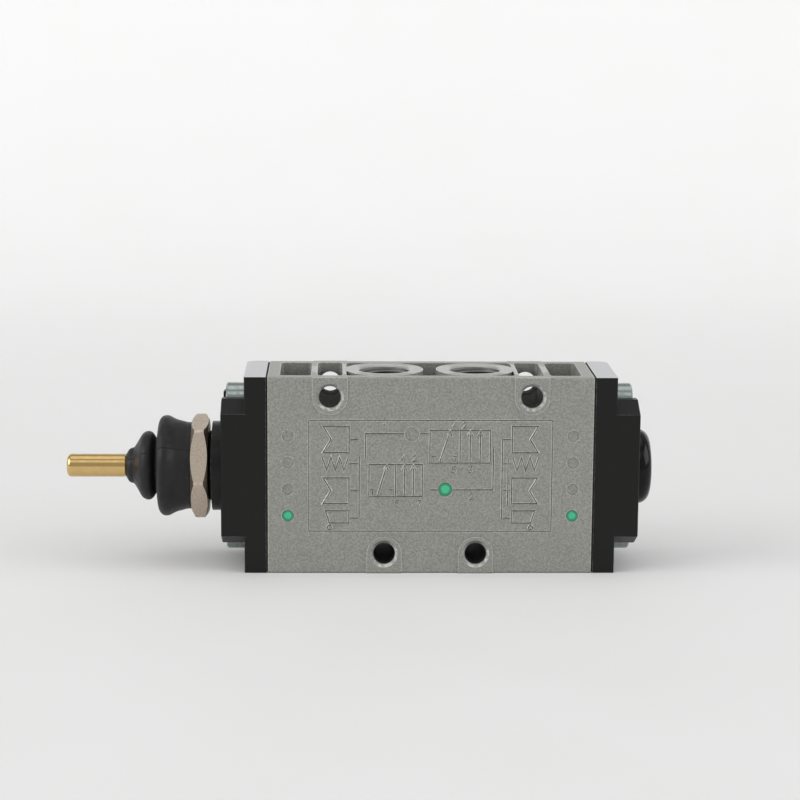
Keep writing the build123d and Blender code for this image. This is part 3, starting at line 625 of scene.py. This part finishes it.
def valveBox(left, low, right, high, look):
    # Two squares side by side: crossed flow in one, straight flow in the other, with blocked ports.
    middle = (left + right) / 2
    third = (middle - left) / 3
    foot, tip = low + look["gap"], high - look["gap"]
    tick = (high - low) * look["blockHeight"]
    width, top = look["headWidth"], high - look["headTop"]
    paths = [[(left, low), (right, low), (right, high), (left, high), (left, low)]]
    paths.append([(middle, low), (middle, high)])
    x = left + 2 * third
    (toLeft, leftDrop), (toRight, rightDrop) = look["slantHead"]
    paths.append([(left + third, foot), (x, tip)])
    paths.append([(x + toLeft, high - leftDrop), (x, tip), (x + toRight, high - rightDrop)])
    for k in (1, 2):
        x = middle + k * third
        paths.append([(x, foot), (x, tip)])
        paths.append([(x - width, top), (x, tip), (x + width, top)])
    for k in look["blocks"]:
        x = left + third * k
        paths.append([(x, low), (x, low + tick)])
        paths.append([(x - look["blockWidth"], low + tick), (x + look["blockWidth"], low + tick)])
    return paths


circuit = actuator(-1, pilotEnd) + actuator(1, pilotEnd)
circuit += valveBox(-15.7, 20.2, -2.1, 28.5, squares) + valveBox(-0.2, 28.9, 15.2, 37.4, squares)
circuit += [
    [(-18.2, 30.7), (-18.2, 14.6)], [(-16.6, 30.0), (-16.6, 36.5), (-6.8, 36.5)],
    [(-2.8, 36.5), (-0.4, 36.5)], [(5.8, 21.9), (16.0, 21.9), (16.0, 32.9)], [(-0.2, 21.9), (1.8, 21.9)],
    [(18.3, 35.0), (18.3, 14.4)], [(19.8, 30.0), (19.8, 18.0)],
]
strokes = {  # each number's strokes, one high
    1: [(0.1, 0.75), (0.45, 1.0), (0.45, 0.0)],
    2: [(0.0, 0.8), (0.2, 1.0), (0.5, 1.0), (0.65, 0.75), (0.0, 0.0), (0.7, 0.0)],
    3: [(0.0, 1.0), (0.65, 1.0), (0.3, 0.58), (0.65, 0.3), (0.4, 0.0), (0.0, 0.1)],
    4: [(0.5, 0.0), (0.5, 1.0), (0.0, 0.3), (0.7, 0.3)],
    5: [(0.65, 1.0), (0.1, 1.0), (0.05, 0.55), (0.5, 0.6), (0.65, 0.3), (0.4, 0.0), (0.0, 0.05)],
}
numbers = [  # which number, and its left and low corner
    (4, -7.6, 29.3), (2, -4.6, 29.3), (5, -9.0, 17.6), (1, -6.0, 17.6), (3, -3.4, 17.6),
    (4, 5.6, 38.0), (2, 8.2, 38.0), (5, 5.4, 26.4), (1, 7.6, 26.4), (3, 9.6, 26.4),
    (1, -12.4, 37.6), (2, 10.0, 19.4),
]
digitHeight = 1.5

builder = bmesh.new()
for path in circuit:
    linePath(path, symbolLine, builder)
for value, left, low in numbers:
    linePath([(left + x * digitHeight, low + z * digitHeight) for x, z in strokes[value]], digitLine, builder)
symbolMesh = bpy.data.meshes.new("circuit_lines")
builder.to_mesh(symbolMesh)
builder.free()
# The casting's aluminium in the lines' floors, painted darker as the shade of a sunk line, and matt.
lineFloorShade = {
    "name": "painted_shade_in_the_lines", "colours": ("#62625E", "#4E4E4A"), "mottle": 0.4, "grain": 0.14,
    "roughness": (0.5, 0.65), "depth": 0.004, "sockets": {"Metallic": 0.4},
}
addPiece("circuit_lines", symbolMesh, castMaterial)
symbolMesh.materials.append(plainFinish(lineFloorShade))
print("circuit lines made:", len(symbolMesh.polygons), "faces")


# Green paint in three of the sunk marks. Radii and heights in mm.
paint = {
    "mark": 1.5, "circuitMark": 1.8, "under": 0.3, "middle": 0.02, "crown": 0.16, "hollow": 3,
    "steps": 48, "rings": 8, "rimRings": 3, "ragged": 0.05, "waves": ((3, 0.6), (5, 0.42)),
    "weld": 0.0001,
}
paintSpots = [(-36.4, 15.105, "mark"), (36.4, 15.105, "mark"), (3.8, 22.0, "circuitMark")]
# Enamel dropped into the mark: an even green with a soft gloss, darker where it creeps up the rim.
enamel = {
    "mottle": 0.8, "grain": 0.25, "roughness": (0.3, 0.42), "depth": 0.01,
    "sockets": {"Coat Weight": 0.3, "Coat Roughness": 0.25},
}
greenPaint = plainFinish({"name": "green_enamel", "colours": ("#45C795", "#3ABB88"), **enamel})
greenRim = plainFinish({"name": "green_enamel_at_the_rim", "colours": ("#2E9C70", "#27875F"), **enamel})


def paintMesh(name, x, z, radius, look):
    # A drop of paint that fills the mark, a little hollow in the middle and drawn up at its rim.
    builder = bmesh.new()
    floor = frontY + look["under"] * mm
    waves = list(zip(look["waves"], (x, z)))
    rows = []
    for ring in range(look["rings"] + 1):
        share = ring / look["rings"]
        lift = look["crown"] * share ** look["hollow"] + look["middle"]
        row = []
        for step in range(look["steps"]):
            angle = 2 * math.pi * step / look["steps"]
            wave = sum(high * math.sin(count * angle + shift) for (count, high), shift in waves)
            reach = radius * share * (1 - look["ragged"] * (1 + wave)) * mm
            spot = (x * mm + reach * math.cos(angle), floor - lift * mm, z * mm + reach * math.sin(angle))
            row.append(builder.verts.new(spot))
        rows.append(row)
    for ring, (first, second) in enumerate(zip(rows, rows[1:])):
        for k in range(look["steps"]):
            n = (k + 1) % look["steps"]
            face = builder.faces.new((first[k], first[n], second[n], second[k]))
            face.material_index = 1 if ring >= look["rings"] - look["rimRings"] else 0
    bmesh.ops.remove_doubles(builder, verts=builder.verts, dist=look["weld"] * mm)
    bmesh.ops.recalc_face_normals(builder, faces=builder.faces)
    mesh = bpy.data.meshes.new(name)
    builder.to_mesh(mesh)
    builder.free()
    return mesh


for number, (x, z, kind) in enumerate(paintSpots, start=1):
    mesh = paintMesh(f"green_mark_{number}", x, z, paint[kind], paint)
    addPiece(f"green_mark_{number}", mesh, greenPaint, smoothFaces=True)
    mesh.materials.append(greenRim)
print("green marks painted")


# The rubber boot. Its outline is in mm, as distance from the foot and radius.
boot = {
    "outline": [
        (0.0, 11.25), (0.7, 11.24), (1.5, 11.33), (2.3, 11.55), (3.1, 11.75), (3.9, 11.97), (4.66, 12.3),
        (5.45, 12.74), (6.1, 13.02), (6.75, 13.06), (7.3, 12.98), (7.8, 12.72), (8.25, 12.2), (8.6, 11.35),
        (8.82, 9.7), (9.05, 7.3), (9.4, 7.2), (9.75, 7.75), (10.2, 8.42), (10.7, 8.78), (11.25, 8.93),
        (11.8, 8.9), (12.3, 8.7), (12.85, 8.3), (13.36, 7.6), (13.9, 6.65), (14.4, 5.8), (14.7, 5.3),
        (15.0, 4.88), (15.3, 4.62), (15.75, 4.55), (16.25, 4.3), (16.55, 4.0), (16.85, 3.5), (17.15, 3.0),
        (17.33, 2.7),
    ],
    "bore": 2.56, "boreEnds": (0.1, 3.4), "boreClearance": 0.9, "wall": 1.2, "wallShift": 0.35,
    "wallPoints": slice(3, -9, 2), "footBore": [(2.1, 9.06), (0.0, 9.06)],
    "aroundSteps": 96, "alongSteps": 2,
    "bendFrom": 2.3, "bendPast": 0.6,
}
# Moulded nitrile rubber: black with a dull sheen, a faint grey bloom and one seam line from its mould.
rubber = {
    "colours": ("#151516", "#1C1C1E"), "mottle": 3.5, "mottleDetail": 3.0, "grain": 0.16, "depth": 0.006,
    "bloom": "#2E2E2F", "bloomSize": 1.1, "bloomDetail": 4.0, "bloomSpan": (0.55, 0.75),
    "bloomShare": (0.0, 0.5),
    "roughness": (0.42, 0.58), "specular": 0.35, "seam": 0.16, "seamDepth": 0.16, "seamTurn": 32.0,
}


def throughPoints(points, steps):
    # A smooth line through the points, each stretch a cubic that leaves along its neighbours' chord.
    line = []
    for k in range(len(points) - 1):
        p = [Vector(points[max(0, min(len(points) - 1, k + j))]) for j in (-1, 0, 1, 2)]
        for step in range(steps):
            t = step / steps
            line.append(0.5 * (
                2 * p[1] + (p[2] - p[0]) * t + (2 * p[0] - 5 * p[1] + 4 * p[2] - p[3]) * t * t
                + (3 * p[1] - p[0] - 3 * p[2] + p[3]) * t ** 3
            ))
    return line + [Vector(points[-1])]


def bootProfile(look):
    # Outside from foot to lip, then back along the bore and the inner wall.
    bore, last = look["bore"], look["outline"][-1][0]
    inner = [Vector((last - back, bore)) for back in look["boreEnds"]]
    for away, radius in reversed(look["outline"][look["wallPoints"]]):
        thinned = max(radius - look["wall"], bore + look["boreClearance"])
        inner.append(Vector((away - look["wallShift"], thinned)))
    inner += [Vector(point) for point in look["footBore"]]
    return throughPoints(look["outline"], look["alongSteps"]) + inner


def bootMesh(look, foot):
    profile = bootProfile(look)
    builder = bmesh.new()
    rows = []
    for step in range(look["aroundSteps"]):
        angle = 2 * math.pi * step / look["aroundSteps"]
        row = []
        for away, radius in profile:
            spot = (foot - away * mm, radius * mm * math.sin(angle), axisZ + radius * mm * math.cos(angle))
            row.append(builder.verts.new(spot))
        rows.append(row)
    for k, row in enumerate(rows):
        after = rows[(k + 1) % len(rows)]
        for j in range(len(profile)):
            n = (j + 1) % len(profile)
            builder.faces.new((row[j], row[n], after[n], after[j]))
    bmesh.ops.recalc_face_normals(builder, faces=builder.faces)
    mesh = bpy.data.meshes.new("rubber_boot")
    builder.to_mesh(mesh)
    builder.free()
    return mesh


def mouldSeam(tree, place, look):
    # A fine ridge along the boot, where a plane through its axis meets the skin.
    turn = math.radians(look["seamTurn"])
    side = addNode(tree, "VectorMath", dotProduct, {0: place, 1: (0.0, math.sin(turn), math.cos(turn))})
    offset = addNode(tree, "Math", {"operation": "SUBTRACT"}, {0: side, 1: axisZ * math.cos(turn)})
    away = addNode(tree, "Math", sizeOf, {0: offset})
    inputs = {"Value": away, "From Min": look["seam"] * mm, "From Max": 0.0}
    ridge = addNode(tree, "MapRange", smooth, inputs)
    return addNode(tree, "Bump", {}, {"Height": ridge, "Distance": look["seamDepth"] * mm})


def rubberMaterial(look):
    material, tree, shader, place = newMaterial("moulded_rubber")
    inputs = {"Vector": place, "Scale": 1 / (look["mottle"] * mm), "Detail": look["mottleDetail"]}
    mottle = addNode(tree, "TexNoise", {}, inputs)
    fine = addNode(tree, "TexNoise", {}, {"Vector": place, "Scale": 1 / (look["grain"] * mm)})
    first, second = [toLinear(code) for code in look["colours"]]
    colour = addNode(tree, "Mix", inColour, {"Factor": mottle, "A": first, "B": second})
    bloom = patches(
        tree, place, look["bloomSize"], look["bloomDetail"], look["bloomSpan"], look["bloomShare"]
    )
    colour = addNode(tree, "Mix", inColour, {"Factor": bloom, "A": colour, "B": toLinear(look["bloom"])})
    low, high = look["roughness"]
    spread = {"Value": mottle, **grainSpan, "To Min": low, "To Max": high}
    bumps = {"Height": fine, "Distance": look["depth"] * mm, "Normal": mouldSeam(tree, place, look)}
    fillInputs(tree, shader, {
        "Base Color": colour,
        "Roughness": addNode(tree, "MapRange", smooth, spread),
        "Specular IOR Level": look["specular"],
        "Normal": addNode(tree, "Bump", {}, bumps),
    })
    return material


bootLow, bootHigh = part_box("lever_boot")
mesh = bootMesh(boot, bootHigh.x)
bootPiece = addPiece("rubber_boot", mesh, rubberMaterial(rubber), body=None, smoothFaces=True)
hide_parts("lever_boot")
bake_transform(bootPiece)
print("boot made")


# Floor and backdrop in one sweep, in metres. The backdrop glows by "lift" at its back.
studio = {
    "front": -1.6, "back": 0.75, "sweep": 0.3, "height": 0.5, "halfWidth": 2.2, "steps": 24,
    "lift": 0.15, "liftFrom": 0.05,
}
# Matt studio paper: nearly white, with no shine, so that the valve's soft shadow shows.
matPaper = {
    "name": "matt_paper", "colours": ("#E6E6E5", "#E9E9E9"), "mottle": 60.0, "grain": 0.6,
    "roughness": (0.7, 0.8), "depth": 0.002,
}


def sweepMesh(look):
    start, radius = look["back"] - look["sweep"], look["sweep"]
    line = [(look["front"], 0.0), (start, 0.0)]
    for k in range(1, look["steps"] + 1):
        angle = math.pi / 2 * k / look["steps"]
        line.append((start + radius * math.sin(angle), radius * (1 - math.cos(angle))))
    line.append((look["back"], look["height"]))
    points = [(side * look["halfWidth"], y, z) for y, z in line for side in (-1, 1)]
    faces = [(2 * k, 2 * k + 1, 2 * k + 3, 2 * k + 2) for k in range(len(line) - 1)]
    mesh = bpy.data.meshes.new("studio_sweep")
    mesh.from_pydata(points, [], faces)
    for polygon in mesh.polygons:
        polygon.use_smooth = True
    return mesh


def paperMaterial(finish, look):
    # Only rays from the camera, or seen in metal, find the backdrop this much paler than the floor.
    material = plainFinish(finish)
    tree = material.node_tree
    path = addNode(tree, "LightPath", {}, {})
    seen = path.outputs["Is Camera Ray"]
    for name in ("Is Glossy Ray", "Is Transmission Ray"):
        seen = addNode(tree, "Math", larger, {0: seen, 1: path.outputs[name]})
    place = addNode(tree, "TexCoord", {}, {}).outputs["Object"]
    axes = addNode(tree, "SeparateXYZ", {}, {0: place})
    inputs = {"Value": axes.outputs["Y"], "From Min": look["liftFrom"], "From Max": look["back"]}
    behind = addNode(tree, "MapRange", smooth, {**inputs, "To Max": look["lift"]})
    fillInputs(tree, tree.nodes["Principled BSDF"], {
        "Emission Color": (1.0, 1.0, 1.0, 1.0),
        "Emission Strength": addNode(tree, "Math", times, {0: behind, 1: seen}),
    })
    return material


sweep = bpy.data.objects.new("studio_sweep", sweepMesh(studio))
bpy.context.scene.collection.objects.link(sweep)
sweep.data.materials.append(paperMaterial(matPaper, studio))
print("floor and backdrop made")


# Soft light from large panels: place and size in metres, power in watts.
lamps = {
    "left_box": {"place": (-1.15, -0.38, 0.7), "size": (1.1, 0.9), "power": 9.2},
    "right_box": {"place": (1.15, -0.35, 0.65), "size": (1.1, 0.9), "power": 7.7},
    "front_top": {"place": (-0.15, -1.0, 1.2), "size": (1.3, 0.6), "power": 1.4},
    "overhead": {"place": (0.0, 0.1, 1.3), "size": (1.2, 0.8), "power": 1.9},
}
skyStrength = 0.45


def addLight(name, look, aim):
    light = bpy.data.lights.new(name, "AREA")
    light.shape = "RECTANGLE"
    light.size, light.size_y = look["size"]
    light.energy = look["power"]
    lamp = bpy.data.objects.new(name, light)
    bpy.context.scene.collection.objects.link(lamp)
    lamp.location = look["place"]
    lamp.rotation_mode = "QUATERNION"
    lamp.rotation_quaternion = (aim - Vector(look["place"])).to_track_quat("-Z", "Y")


for name, look in lamps.items():
    addLight(name, look, Vector((0.0, 0.0, axisZ)))
world = bpy.data.worlds.new("studio")
bpy.context.scene.world = world
world.use_nodes = True
sky = world.node_tree.nodes["Background"]
fillInputs(world.node_tree, sky, {"Color": (1.0, 1.0, 1.0, 1.0), "Strength": skyStrength})


# The camera, placed in mm and turned in degrees: yaw to the side, then pitch, then roll.
# The clip distances are in metres.
view = {
    "place": (-23.57, -573.0, 146.0), "pitch": -10.2, "yaw": -1.6, "roll": 0.4, "lens": 101.0,
    "sensor": 36.0, "clip": (0.01, 20.0),
}
cameraData = bpy.data.cameras.new("camera")
cameraData.lens = view["lens"]
cameraData.sensor_width = view["sensor"]
cameraData.clip_start, cameraData.clip_end = view["clip"]
camera = bpy.data.objects.new("camera", cameraData)
bpy.context.scene.collection.objects.link(camera)
rotation = Matrix.Identity(4)
for degrees, axis in ((view["yaw"], "Z"), (90 + view["pitch"], "X"), (view["roll"], "Z")):
    rotation = rotation @ Matrix.Rotation(math.radians(degrees), 4, axis)
camera.matrix_world = Matrix.Translation(Vector(view["place"]) * mm) @ rotation
bpy.context.scene.camera = camera
bpy.context.scene.view_settings.view_transform = "Standard"
print("light and camera set")
